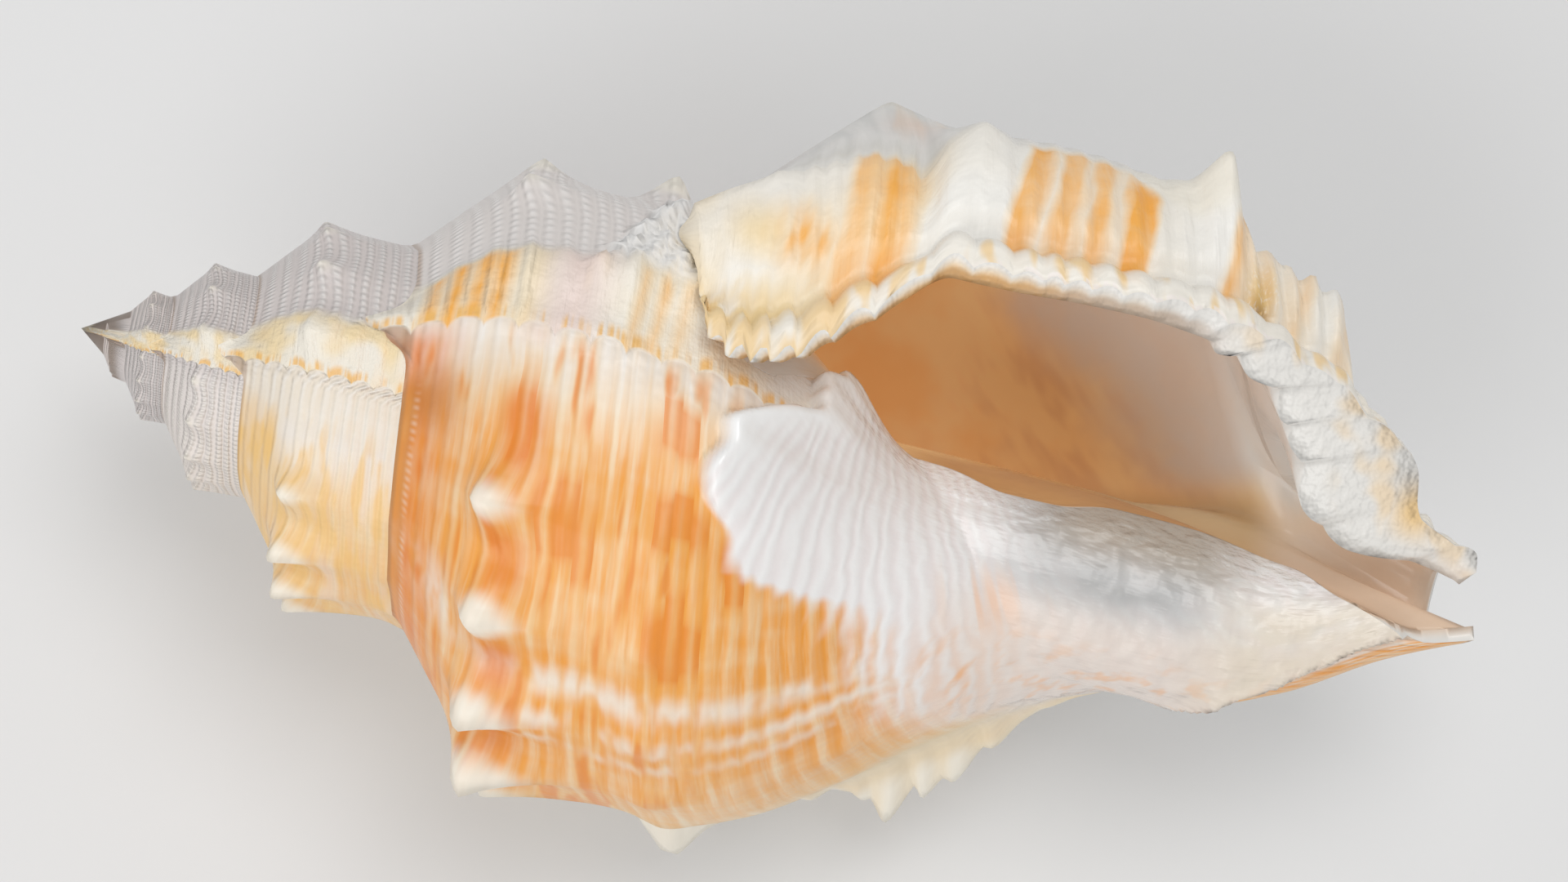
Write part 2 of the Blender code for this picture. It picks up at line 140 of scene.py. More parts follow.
def curve(points, x):
    """Smooth curve through (x, y) points that never swings past them."""
    px, py = np.array(points, float).T
    h = np.diff(px)
    d = np.diff(py) / h
    m = np.concatenate([d[:1], np.zeros(len(d) - 1), d[-1:]])
    same = d[:-1] * d[1:] > 0
    m[1:-1][same] = 2 * d[:-1][same] * d[1:][same] / (d[:-1] + d[1:])[same]
    x = np.clip(x, px[0], px[-1])
    i = np.clip(np.searchsorted(px, x) - 1, 0, len(h) - 1)
    t = (x - px[i]) / h[i]
    return ((2 * t**3 - 3 * t**2 + 1) * py[i] + (t**3 - 2 * t**2 + t) * h[i] * m[i]
            + (3 * t**2 - 2 * t**3) * py[i + 1] + (t**3 - t**2) * h[i] * m[i + 1])


def path(points, t):
    """Places at t along rows of (t, x, y, z)."""
    table = np.array(points)
    return np.stack([curve(table[:, (0, k)], t) for k in (1, 2, 3)], -1)


def step(a, b, x):
    """0 at a, 1 at b, smooth between."""
    t = np.clip((x - a) / (b - a), 0, 1)
    return t * t * (3 - 2 * t)


def bump(x, width):
    """A round hill, 1 at x = 0."""
    return np.exp(-(x / width) ** 2)


def cone(x, width, power=1.4):
    """A hill, 1 at x = 0, more pointed as the power falls."""
    return np.exp(-np.abs(x / width) ** power)


def degrees_at(n):
    return LIP_AZIMUTH + 360 * n


def shoulder_radius(n):
    """The whorl's radius at its shoulder, in millimetres, which other sizes are measured in."""
    m = n + .128
    return np.exp(3.127 + .4314 * m - .0204 * m * m)


def knob_count(n):
    """Knobs passed since the start of the coil; whole numbers lie on a knob."""
    turns = np.floor(n)
    return np.interp(degrees_at(n - turns), KNOB_PLACES[:, 1], KNOB_PLACES[:, 0]) + KNOBS * turns


def column_growth(turns):
    """Growth of each column over this many turns up to 0, closer together where the varices lie."""
    f = np.linspace(0, 1, 2001)
    crowd = np.cumsum(1 + 2.2 * bump(f - 1, .06) + 2.2 * bump(f, .03) + 1.4 * bump(f - .09, .06)
                      + bump(f - .58, .09))
    one = np.interp(np.linspace(crowd[0], crowd[-1], COLUMNS + 1), crowd, f)[:-1]
    return np.concatenate([one + k for k in range(-turns, 0)] + [[0]])


def varix_distance(n):
    """Signed turns from the nearest varix edge: negative before it, positive after."""
    return n - VARICES[np.abs(np.asarray(n)[..., None] - VARICES).argmin(-1)]


def to_varix(n):
    """Turns since the last varix, and turns to the next one."""
    edges = VARICES[::-1]
    last = np.clip(np.searchsorted(edges, n, side="right") - 1, 0, len(edges) - 1)
    following = np.clip(np.searchsorted(edges, n, side="left"), 0, len(edges) - 1)
    return n - edges[last], edges[following] - n


def varix_crest(n):
    """Turns from a varix's crest to its edge."""
    return .049 + .013 * step(-.3, -.2, n)


def suture_trend(n):
    """Axial place of the seam with the older whorl, without its climbs."""
    return 34.6 * np.exp(.6439 * n) * (1 - .033 * np.sin(np.radians(degrees_at(n)))) / 1.023


def suture(n):
    """Axial place of that seam, which climbs to a spur at each varix."""
    after, before = to_varix(n)
    climb = .09 * np.maximum(bump(before, .035), bump(after, .012)) + .09 * cone(before - .014, .018)
    climb = np.where(n > -.3, .1 * bump(before - .045, .03), climb)
    return suture_trend(n) - shoulder_radius(n) * climb


def shoulder(n):
    """Axial place of the shoulder, where the knobs stand."""
    return suture_trend(n) + .35 * shoulder_radius(n)


def side_radius(n, a):
    """Radius of the side below the shoulder, without the ramp above it."""
    r = shoulder_radius(n)
    return r * curve(SIDE, (a - shoulder(n)) / r)


def smooth_radius(n, a):
    """Radius of the whorl without its knobs and varices."""
    r = shoulder_radius(n)
    seam = suture(n)
    older = side_radius(n - 1, seam)
    ramp = older + (a - seam) * (1.06 * r - older) / (shoulder(n) - seam)
    side = side_radius(n, a)
    soft = .12 * r
    whorl = .5 * (ramp + side - np.sqrt((ramp - side) ** 2 + soft**2))
    start = .5 * (older + side_radius(n, seam) - np.sqrt((older - side_radius(n, seam)) ** 2 + soft**2))
    whorl = whorl + (older - start) * np.exp(-np.maximum(a - seam, 0) / (.1 * r))
    cap = curve(NECK, a) * (1 + 1.35 * step(-.5, -.03, n))
    room = step(60, 68, a)
    narrow = .5 * (whorl + cap - np.sqrt((whorl - cap) ** 2 + 1.5))
    return np.maximum(whorl * (1 - room) + narrow * room, curve(NECK, a) * (n > -1.3) * (a > 45) + .2)


def shield_inset(n, a):
    """Millimetres inside the edge of the glaze that the inner lip spreads over the last whorl."""
    azimuth = degrees_at(n + 1)
    wave = .3 * np.sin(azimuth * .3 + 1) + .15 * np.sin(azimuth * .71) + .3 * np.sin(a * 2.1) * (a > 60)
    left = a - curve(SHIELD_LEFT, azimuth)
    under = (curve(SHIELD_UNDER, a) - azimuth) * .2
    return np.where(n < -.5, np.minimum(left, under) + wave, -LEFT_OUT)


def shield(n, a):
    """1 under the glaze, 0 on the bare whorl."""
    return step(-.5, .6, shield_inset(n, a))


def callus(n, a):
    """Height of the glaze over the bare whorl, thick and rounded along its upper edge, in millimetres."""
    inset, azimuth = shield_inset(n, a), degrees_at(n + 1)
    thick = step(10, -8, azimuth) * step(47, 43, a) + .5 * step(62, 67, a) * step(80, 74, a)
    return (1.9 * thick * np.exp(-np.maximum(inset - .5, 0) / 3.5) + .1) * np.sqrt(step(-.15, 1, inset))


def knobs(n, a):
    """Height of the shoulder knobs and varix spines, in shoulder radii."""
    x = (a - shoulder(n)) / shoulder_radius(n)
    before = to_varix(n)[1]
    at_varix = cone(before - varix_crest(n), .02, 1.6)
    count = knob_count(n)
    turn = cone(count - np.round(count), .25, 1.45)
    for bare, width in ((-.92, .03), (-1, .025), (-1.85, .03)):
        turn = turn * (1 - bump(n - bare, width) ** .5)
    newest = step(-.12, -.05, n)
    tip = cone(np.minimum(x - .05, 0), .085, 1.5) * cone(np.maximum(x - .05, 0), .15, 1.2)
    proud = .085 + .07 * np.maximum(bump(n + .74, .13), bump(n + 1.68, .14))
    proud = proud + .06 * bump(n + .67, .035) + .05 * bump(n + 1.143, .04)
    row1 = turn * (tip * proud * (1 - .85 * newest) + cone(x - .2, .15, 2.6) * .06 * newest)
    row2 = turn * bump(x - .57, .09) * .03 * (1 - newest)
    row2 = row2 + at_varix * cone(x - .49 - .22 * newest, .11, 2.2) * .2 * (n > -.7)
    row2 = row2 + turn * cone(x - .6, .1, 1.5) * .14 * bump(n + 1.143, .03)
    row3 = turn * bump(x - 1.08, .08) * .02 * (1 - newest)
    row3 = row3 + at_varix * cone(x - 1.12 - .06 * newest, .07, 1.7) * (.2 - .05 * newest)
    flange = bump(before - varix_crest(n), .022) * np.clip(bump(x - 1.2, .2) * 1.3 - .2, 0, 1) * (n < -.4)
    flange = flange * .15 * (1 + .25 * np.sin(x * 2 * np.pi / .085))
    return row1 + row2 + np.maximum(row3, flange)


def ledge(n, a):
    """Height of the varix between its crest and its scalloped edge, in shoulder radii."""
    r = shoulder_radius(n)
    x = (a - shoulder(n)) / r
    s = (a - suture_trend(n)) / r
    older = n < -.2
    d = -varix_distance(n) + .005 * np.abs(np.sin(np.pi * s / (2 * CORD))) ** .7 * older
    top = varix_crest(n) - .003
    crest = bump(np.maximum(d - top, 0), .018) * bump(np.minimum(d - top, 0), .03)
    rim = step(.0, .003, d) * bump(np.maximum(d - .006, 0), .012)
    ribs = .011 * np.cos(2 * np.pi * s / (2 * CORD)) * bump(d - .035, .03)
    height = (.055 + .025 * older) * crest + .03 * rim * older + ribs
    return height * step(-.45, -.1, x) * step(1.75, 1.2, x)


def crust(n, a):
    """Height of the white deposit in the corner behind the lip, in millimetres."""
    border = a - 28.3 + 33 * (n + 1.017) + .4 * np.sin(n * 260) + .2 * np.sin(n * 610)
    rough = 1 + .25 * np.sin(a * 4 + n * 150) + .15 * np.sin(a * 9)
    reach = step(-1.16, -1.1, n) * step(-.965, -1, n) * step(-.2, -1.4, a - suture(n + 1))
    return .8 * step(0, .7, border) * reach * rough


def relief(n, a):
    """Knobs, spines and varices, as a height above the whorl."""
    r = shoulder_radius(n)
    x = (a - shoulder(n)) / r
    under_lip = step(29.5, 32, a) * step(-1.06, -1.02, n) * step(-.88, -.93, n)
    height = (knobs(n, a) + ledge(n, a)) * r * step(-.085, -.13, n)
    height = height * (1 - shield(n, a)) * (1 - under_lip) * step(-.45, -.2, x)
    return height + callus(n, a) + crust(n, a)


def drift(n, a):
    """How far the whorl's middle has left the axis, in millimetres."""
    return curve(DRIFT, a) * (1 - .45 * step(-.4, -.05, n))


def placed(n, a, r):
    """Points at growth n, axial place a and distance r from the middle."""
    w, d, off = np.radians(degrees_at(n)), np.radians(DRIFT_AZIMUTH), drift(n, a)
    return np.stack([a, -r * np.sin(w) - off * np.sin(d), r * np.cos(w) + off * np.cos(d)], -1)


def outside(n, a):
    """The whorl's surface; its shoulder knobs lean towards the apex."""
    r = shoulder_radius(n)
    lean = np.minimum(knobs(n, a), .13) * r * bump((a - shoulder(n)) / r, .25)
    lean = lean * (1 - shield(n, a)) * (n < -.55)
    lean = lean * (.8 - .35 * step(-.83, -.8, n) * (n > -1) - .95 * bump(n + 1.143, .04))
    return placed(n, a, smooth_radius(n, a) + relief(n, a)) - lean[..., None] * np.array([1, 0, 0])


def canal_end(q):
    """Axial place of the canal's end, notched between its two prongs."""
    return curve([(0, 80), (.12, 79.4), (.3, 78), (.5, 77.5), (.75, 77.6), (.9, 78.3), (1, 79)], q)


def spire():
    """Growth, axial place and points from suture to suture, for each column up to n = -1."""
    n = column_growth(-1 - FIRST_TURN)[:, None] - 1
    ramp = SPIRE_ROWS // 3
    row = np.arange(SPIRE_ROWS + 1)[None, :]
    edge = shoulder(n)
    a = np.where(row < ramp, suture(n) + (edge - suture(n)) * row / ramp,
                 edge + (suture(n + 1) - edge) * (row - ramp) / (SPIRE_ROWS - ramp))
    a = a[:, :1] + (a - a[:, :1]) * np.clip(n - FIRST_TURN, 0, 1) ** .7
    n = np.broadcast_to(n, a.shape)
    points = outside(n, a)
    points[COLUMNS:, 0] = points[:-COLUMNS, -1]
    return n, a, points


def last_whorl(older):
    """The last whorl, from the inner lip (q = 0) to the outer lip (q = 1)."""
    whole = column_growth(1)[:, None]
    q = whole + 1
    row = np.arange(LAST_ROWS + 1)[None, :]
    ramp = SPIRE_ROWS // 3
    start, edge, low, trend = suture_trend(-1.), shoulder(-1.), suture(0.), suture_trend(whole)
    first = np.where(row < ramp, start + (edge - start) * row / ramp,
                     edge + (low - edge) * (row - ramp) / (SPIRE_ROWS - ramp))
    rest = low + (80 - low) * (row - SPIRE_ROWS) / (LAST_ROWS - SPIRE_ROWS)
    first = np.where(row > SPIRE_ROWS, rest, first)
    share = (first - start) / (80 - start) * (1 - q) + row / LAST_ROWS * q
    a = trend + (canal_end(q) - trend) * share + (suture(whole) - trend) * np.clip(1 - row / ramp, 0, 1)
    shift = (curve(INNER_LIP, a) - LIP_AZIMUTH) / 360
    n = whole + shift * step(SPIRE_ROWS - 1, SPIRE_ROWS + 10, row) * (1 - q) ** (2 + 12 * step(71, 66, a))
    points = outside(n, a)
    lip = margin(row[0] / LAST_ROWS)
    points = varix_of_lip(points, whole[:, 0], lip)
    points[0, :SPIRE_ROWS + 1] = older[-1]
    points[:, 0] = older[-COLUMNS - 1:, -1]
    points[-1, 0] = points[0, SPIRE_ROWS]
    return n, a, points


def varix_of_lip(points, n, lip):
    """The last columns raised to the lip's crest, then running down its face to the edge."""
    t = np.linspace(0, 1, LAST_ROWS + 1)
    crest = path(LIP_CREST, t)
    x = crest[:, 0]
    ribs = .07 + .04 * step(46, 50, x) + .22 * step(60, 62, x)
    ribs = np.cos(2 * np.pi * x / 1.4) * ribs * step(80, 76, x)
    beads = .17 * np.cos(2 * np.pi * x / 1.05) * step(36, 38, x) * step(45, 43.5, x)
    crest = crest + (ribs * .8 * step(46, 48, x) + beads)[:, None] * np.array([0, .9, .4])
    first = np.abs(n + varix_crest(0)).argmin()
    rise = (step(n[first] - .075, n[first], n) ** 1.4)[:first, None, None]
    points[:first] += rise * (crest - points[first])
    f = ((n - n[first]) / -n[first])[first:, None, None]
    out = np.array([0, .6, .8])
    room = np.minimum(np.linalg.norm(lip - crest, axis=1) / 8, 1)[None, :, None]
    ribs = ribs - .35 * bump(x - 44.2, .5)
    face = .55 * bump(f - .25, .22) - 1.05 * bump(f - .69, .09) + .4 * bump(f - .88, .09)
    face = face + ribs[None, :, None] * np.sin(np.pi * np.clip(f / .75, 0, 1))
    points[first:] = crest + (lip - crest) * f + face * room * out
    for place, height, width in SPINES:
        across = cone(n + varix_crest(0), .014 + .004 * height, 1.3)
        shape = height * cone(x - place, width, 1.3)[None, :] * across[:, None]
        points[:, :, 1] += shape * .95
        points[:, :, 2] += shape * .25
    return points


def teeth(x):
    """1 at the tip of each tooth of the outer lip, 0 between them."""
    return 1 - np.abs(np.sin(np.pi * np.interp(x, TEETH, np.arange(len(TEETH))))) ** .8


def margin(t):
    """The outer lip's edge with its pointed teeth."""
    edge = path(MARGIN, t)
    reach = curve(TOOTH_REACH, edge[:, 0]) * (teeth(edge[:, 0]) - .35)
    return edge + reach[:, None] * np.array([0, -.95, .3])


def section(n, count_in, count_end, count_out):
    """One slice of the hollow at growth n: down the inner wall, round the end, back up the outer wall."""
    r = shoulder_radius(n)
    top = suture(n) + .16 * r
    foot = curve([(-1.4, 33), (-1, 43), (-.64, 51), (-.37, 58), (-.2, 65), (-.13, 68)], n)
    bend = .28 * (foot - top)
    knee = foot - bend
    u_in = np.linspace(0, 1, count_in)
    turn = np.radians(25)
    down = np.concatenate([top + (knee + bend * np.sin(turn) - top) * u_in,
                           knee + bend * np.sin(np.linspace(turn, np.pi - turn, count_end + 2)[1:-1])])
    up = top + (knee + bend * np.sin(turn) - top) * np.linspace(1, 0, count_out)
    a = np.concatenate([down, up])
    around = -np.cos(np.linspace(turn, np.pi - turn, count_end + 2)[1:-1]) / np.cos(turn)
    side = np.concatenate([-np.ones(count_in), around, np.ones(count_out)])
    near = np.maximum(smooth_radius(n - 1 + 0 * a, a), 1.2)
    far = np.maximum(smooth_radius(n + 0 * a, a) - WALL * r / 22, near + .3)
    room = np.sqrt(np.clip((a - top) / (.12 * (foot - top)), 0, 1))
    fit = np.sqrt(np.clip(1 - np.clip((a - knee) / bend, 0, 1) ** 2, 0, 1))
    mid = near + (far - near) * .5 * room
    half = (far - near) * .5 * room
    at_end = np.abs(side) < 1
    dist = mid + half * np.where(at_end, side * np.cos(turn), side * fit)
    azimuth = np.radians(degrees_at(n))
    return np.stack([a, -dist * np.sin(azimuth), dist * np.cos(azimuth)], -1)


def frill_lobes(t):
    """How the folds of the frill inside the lip move its points, by place t along the lip."""
    lobe = np.interp(t, [.6, .66, .735, .78, .845, .9, .97], np.arange(7))
    frac = (lobe - np.floor(lobe))[:, None]
    fall = step(1, .85, frac) * (step(.56, .62, t) * step(1, .95, t))[:, None]
    return (frac ** 1.4 * np.array([0, -.1, .9]) + np.sin(np.pi * frac) * np.array([-.55, -.45, 0])) * fall


def hollow(whorl, a):
    """Loops of points from the aperture's edge inwards."""
    inner, end, outer = whorl[0, SPIRE_ROWS:], whorl[1:-1, -1], whorl[-1, ::-1]
    rim = np.concatenate([inner, end, outer[:-1]])
    count = (len(inner), len(end), len(outer))
    deep = [section(g, *count)[:-1] for g in SECTIONS]
    place = a[0, SPIRE_ROWS:]
    azimuth = curve(INNER_LIP, np.maximum(place, 33.5))
    reach = (degrees_at(SECTIONS[0]), deep[0][:len(inner), 0])
    away = np.array([-.6, 0, 0])
    t = np.linspace(1, 0, LAST_ROWS + 1)
    throat, lobes = path(THROAT, t), frill_lobes(t)
    middle = np.array([0, curve(DRIFT, 78.) * .9, curve(DRIFT, 78.) * .42])
    canal_floor = end + away + (middle - end) * np.array([0, .4, .4])
    corner = step(.3, .08, t)[:, None]
    bare = step(66, 72, place)[:, None]
    deep_side = np.vstack([deep[0][len(inner) + len(end):], deep[0][:1]])
    loops = [rim]
    for share, face, early in ENTRY:
        # Down the inner lip first, then round the canal's end, then back up the outer lip.
        w = azimuth + (reach[0] - azimuth) * share
        g = (w - LIP_AZIMUTH) / 360 - 1
        b = place + (reach[1] - place) * share
        straight_in = inner + (away * 2 + (middle - inner) * np.array([0, .3, .3])) * face
        straight_in = straight_in + (deep[0][:len(inner)] - straight_in) * early
        first = placed(g, b, smooth_radius(g, b)) * (1 - bare) + straight_in * bare
        second = end + (canal_floor - end) * face
        second = second + (deep[0][len(inner):len(inner) + len(end)] - second) * early
        inwards = early + (share - early) * corner
        third = outer + (throat - outer) * face
        third = third + (deep_side - third) * inwards * (face == 1)
        third = third + lobes * (face - .15) * bump(early, .12)
        loops.append(np.concatenate([first, second, third[:-1]]))
    newest = loops[1:] + [d for g, d in zip(SECTIONS, deep) if g > -.95]
    oldest = [d for g, d in zip(SECTIONS, deep) if g < -.95]
    return np.array([rim] + [kept_in_wall(loop, len(rim) - count[2]) for loop in newest] + oldest)


def kept_in_wall(loop, lip_side):
    """The loop, moved in where it nears the outside; its lip side moves out from the older whorl."""
    a, d, n = loop[:, 0], np.radians(DRIFT_AZIMUTH), np.zeros(len(loop)) - .5
    for _ in range(3):
        off = drift(n, a)
        y, z = loop[:, 1] + off * np.sin(d), loop[:, 2] - off * np.cos(d)
        turn = (np.degrees(np.arctan2(-y, z)) - LIP_AZIMUTH + 60) % 360 - 60
        n = np.where(turn > 30, turn / 360 - 1, turn / 360)
    r = np.maximum(np.hypot(y, z), .01)
    most = np.where((n > -.92) & (n < -.06), smooth_radius(n, a) - .9, 99)
    least = np.where((np.arange(len(a)) >= lip_side) & (a < 55), smooth_radius(n - 1, a) + .7, 0)
    scale = np.maximum(np.minimum(r, most), np.minimum(least, most)) / r
    return loop + np.stack([0 * a, y * (scale - 1), z * (scale - 1)], -1)


MASKS = ("glaze", "crown", "fringe")


def add_sheet(bm, points, coil, near, masks, around, slot):
    """A grid of faces through these points; around is True where the rows run as rings."""
    cols, rows = points.shape[:2]
    first = len(bm.faces)
    across, along = (rows, cols) if around else (cols, rows)
    made = bmesh.ops.create_grid(bm, x_segments=across - 1, y_segments=along - 1, size=1)["verts"]
    turned = (lambda table: table) if around else (lambda table: table.swapaxes(0, 1))
    marks = [bm.verts.layers.float[name] for name in MASKS]
    flat = np.stack([turned(mask).ravel() for mask in masks], -1).tolist()
    for vert, point, values in zip(made, turned(points).reshape(-1, 3), flat):
        vert.co = point
        for mark, value in zip(marks, values):
            vert[mark] = value
    bm.faces.ensure_lookup_table()
    layers = [bm.loops.layers.uv["coil"], bm.loops.layers.uv["near"]]
    x, y = np.meshgrid(np.arange(across - 1), np.arange(along - 1))
    corners = (y[..., None] + [0, 0, 1, 1], x[..., None] + [0, 1, 1, 0])
    tables = [turned(table)[corners].reshape(-1, 4, 2) for table in (coil, near)]
    # The distance to a varix is taken from one varix over the whole of a face.
    growth = tables[0][:, :, 0]
    edge = VARICES[np.abs(growth.mean(1)[:, None] - VARICES).argmin(1)]
    tables[1][:, :, 0] = growth - edge[:, None]
    for face, first_uv, second_uv in zip(bm.faces[first:], tables[0].tolist(), tables[1].tolist()):
        face.material_index = slot
        for loop, uv, other in zip(face.loops, first_uv, second_uv):
            loop[layers[0]].uv = uv
            loop[layers[1]].uv = other


def to_row(points):
    """From the shell's own frame in millimetres to the floor it lies on, in metres."""
    lie = Matrix.Rotation(np.radians(180 - REST_ROLL), 3, "X")
    moved = (points * (1, 1, FLATNESS)) @ np.array(lie).T - np.array(MIDDLE)
    low, high = np.array(cad_box[0]), np.array(cad_box[1])
    return np.clip(moved * MM, low, high)


def close_ends(bm):
    """Joins the sheets where they meet, and caps the apex and the inner end of the hollow."""
    bmesh.ops.remove_doubles(bm, verts=bm.verts, dist=MERGED)
    open_edges = [e for e in bm.edges if e.is_boundary]
    caps = bmesh.ops.holes_fill(bm, edges=open_edges, sides=0)["faces"]
    tips = bmesh.ops.poke(bm, faces=caps)["verts"]
    apex = min(tips, key=lambda v: v.co.x)
    apex.co = to_row(np.zeros((1, 3)))[0]
    bmesh.ops.triangulate(bm, faces=[f for f in bm.faces if len(f.verts) > 4])


def shell_skin():
    """The outer skin of every whorl and the skin of the hollow, as one closed mesh."""
    n1, a1, older = spire()
    n2, a2, whorl = last_whorl(older)
    inside = hollow(whorl, a2)
    bm = bmesh.new()
    bm.loops.layers.uv.new("coil")
    bm.loops.layers.uv.new("near")
    for name in MASKS:
        bm.verts.layers.float.new(name)
    for n, a, points in ((n1, a1, older), (n2, a2, whorl)):
        s = (a - suture_trend(n)) / shoulder_radius(n)
        glaze, crown = np.clip(shield_inset(n, a) / 8 + .5, 0, 1), np.clip(knobs(n, a) / .1, 0, 1)
        fringe = bump(np.minimum(n + .006, 0), .006)
        coil, near = np.stack([n, s], -1), np.stack([0 * n, knob_count(n)], -1)
        add_sheet(bm, to_row(points), coil, near, (glaze, crown, fringe), False, 0)
    ring = np.concatenate([inside, inside[:, :1]], 1)
    depth = np.broadcast_to(np.linspace(0, 1, len(ring))[:, None], ring.shape[:2])
    along = np.broadcast_to(np.linspace(0, 1, ring.shape[1])[None], ring.shape[:2])
    masks = (1 + 0 * depth, 0 * depth, step(.06, 0, depth))
    coil = np.stack([depth, along], -1)
    add_sheet(bm, to_row(ring), coil, coil, masks, True, 1)
    close_ends(bm)
    mesh = bpy.data.meshes.new("shell_skin")
    bm.to_mesh(mesh)
    bm.free()
    mesh.shade_smooth()
    piece = bpy.data.objects.new("shell_skin", mesh)
    bpy.context.scene.collection.objects.link(piece)
    return piece


class Wire:
    """A shader socket that takes part in sums; node() adds any node beside it."""

    def __init__(self, tree, socket=None):
        self.tree, self.socket = tree, socket

    def node(self, kind, settings=None, inputs=None, out=0):
        made = self.tree.nodes.new("ShaderNode" + kind)
        for name, value in (settings or {}).items():
            if name == "stops":
                fill_ramp(made.color_ramp, value)
            else:
                setattr(made, name, value)
        for name, value in (inputs or {}).items():
            plug(self.tree, made.inputs[name], (*value, 1) if isinstance(value, tuple) else value)
        return Wire(self.tree, made.outputs[out])

    def part(self, vector, axis):
        return self.node("SeparateXYZ", {}, {0: vector}, axis)

    def math(self, operation, first, second=0.0):
        return self.node("Math", {"operation": operation}, {0: first, 1: second})

    def __add__(self, other):
        return self.math("ADD", self, other)

    def __sub__(self, other):
        return self.math("SUBTRACT", self, other)

    def __rsub__(self, other):
        return self.math("SUBTRACT", other, self)

    def __mul__(self, other):
        return self.math("MULTIPLY", self, other)

    def __truediv__(self, other):
        return self.math("DIVIDE", self, other)

    def __pow__(self, other):
        return self.math("POWER", self, other)

    def __abs__(self):
        return self.math("ABSOLUTE", self)

    __radd__, __rmul__ = __add__, __mul__

    def at_most(self, other):
        return self.math("MINIMUM", self, other)

    def at_least(self, other):
        return self.math("MAXIMUM", self, other)

    def rise(self, low, high):
        """0 up to low, 1 from high on, smooth between."""
        return self.node("MapRange", {"interpolation_type": "SMOOTHSTEP"},
                         {"Value": self, "From Min": low, "From Max": high})

    def ridge(self, period, phase=0.0):
        """1 at each multiple of the period, 0 half way between."""
        return self.math("COSINE", (self + phase) * (2 * np.pi / period)) * .5 + .5

    def hill(self, middle, width):
        return 1 - abs(self - middle).rise(0, width)

    def noise(self, x, y, z=0.0, detail=2.0):
        at = self.node("CombineXYZ", {}, {0: x, 1: y, 2: z})
        return self.node("TexNoise", {}, {"Vector": at, "Scale": 1.0, "Detail": detail, "Roughness": .55})

    def mix(self, first, second, share):
        return self.node("Mix", {"data_type": "RGBA"}, {0: share, 6: first, 7: second}, 2)

    def ramp(self, stops):
        return self.node("ValToRGB", {"stops": stops}, {0: self})

    def table(self, pairs, span):
        """A value that goes with this one, from a table of pairs that lies within 0 to span."""
        return (self / span).ramp([(x / span, (value,) * 3) for x, value in pairs])


def plug(tree, socket, value):
    if isinstance(value, Wire):
        tree.links.new(value.socket, socket)
    else:
        socket.default_value = value


def fill_ramp(ramp, stops):
    ramp.elements[0].position, ramp.elements[1].position = 0, 1
    while len(ramp.elements) < len(stops):
        ramp.elements.new(.5)
    for element, (place, color) in zip(ramp.elements, stops):
        element.position, element.color = place, (*color, 1)


def finish(name):
    """A new material, a wire to build with, and a call that joins the results to its shader."""
    material = bpy.data.materials.new(name)
    material.use_nodes = True
    tree = material.node_tree
    shader = tree.nodes["Principled BSDF"]

    def join(color, rough, height, distance, coat, coat_rough, glow=None):
        normal = Wire(tree).node("Bump", {}, {"Strength": 1.0, "Distance": distance, "Height": height})
        sockets = {"Base Color": color, "Roughness": rough, "Normal": normal, "Coat Weight": coat,
                   "Coat Roughness": coat_rough, "Specular IOR Level": .35}
        if glow:
            sockets["Emission Color"], sockets["Emission Strength"] = glow
        for name, value in sockets.items():
            plug(tree, shader.inputs[name], value)
    return material, Wire(tree), join


def growth_stops(table):
    return [((n + 5) / 5, color) for n, color in table]


BROWN, VIOLET, PALE_VIOLET = (.92, .8, .74), (.68, .62, .6), (.85, .82, .8)
CREAM, WHITE, ORANGE = (.87, .78, .62), (.9, .87, .83), (.9, .36, .05)
DEEP_ORANGE, GREY, BLACK = (.8, .21, .02), (.7, .695, .67), (0, 0, 0)
# What lies between the cords and what lies on them, by growth.
GROUND = [(-5, BROWN), (-4.3, BROWN), (-3.9, VIOLET), (-2.87, VIOLET), (-2.85, (.78, .72, .69)),
          (-2.6, (.78, .71, .65)), (-2.36, VIOLET), (-1.93, VIOLET), (-1.885, (.86, .76, .62)),
          (-1.83, (.85, .78, .7)), (-1.79, (.88, .62, .34)), (-1.7, (.88, .52, .2)), (-1.5, (.86, .52, .2)),
          (-1.41, (.78, .66, .54)), (-1.39, (.77, .71, .68)), (-1.0, (.78, .73, .7)),
          (-.942, (.86, .78, .68)), (-.91, (.88, .6, .34)), (-.88, ORANGE), (-.7, ORANGE),
          (-.62, (.88, .52, .2)), (-.58, (.85, .74, .54)), (-.5, (.8, .5, .25)), (-.48, (.76, .66, .54)),
          (-.42, GREY), (-.1, GREY), (0, CREAM)]
CREST = [(-5, BROWN), (-4.3, (.84, .75, .7)), (-3.9, PALE_VIOLET), (-2.87, (.84, .8, .78)),
         (-2.85, (.9, .86, .81)), (-2.6, (.89, .82, .72)), (-2.36, (.84, .81, .79)), (-1.93, (.84, .82, .8)),
         (-1.885, WHITE), (-1.85, (.9, .84, .74)), (-1.8, (.89, .7, .44)), (-1.5, (.86, .72, .5)),
         (-1.39, (.9, .87, .85)), (-1.0, (.91, .88, .86)), (-.935, WHITE), (-.9, (.92, .76, .54)),
         (-.8, (.93, .72, .44)), (-.7, (.92, .74, .5)), (-.5, (.88, .76, .58)), (-.42, (.8, .79, .77)),
         (0, WHITE)]
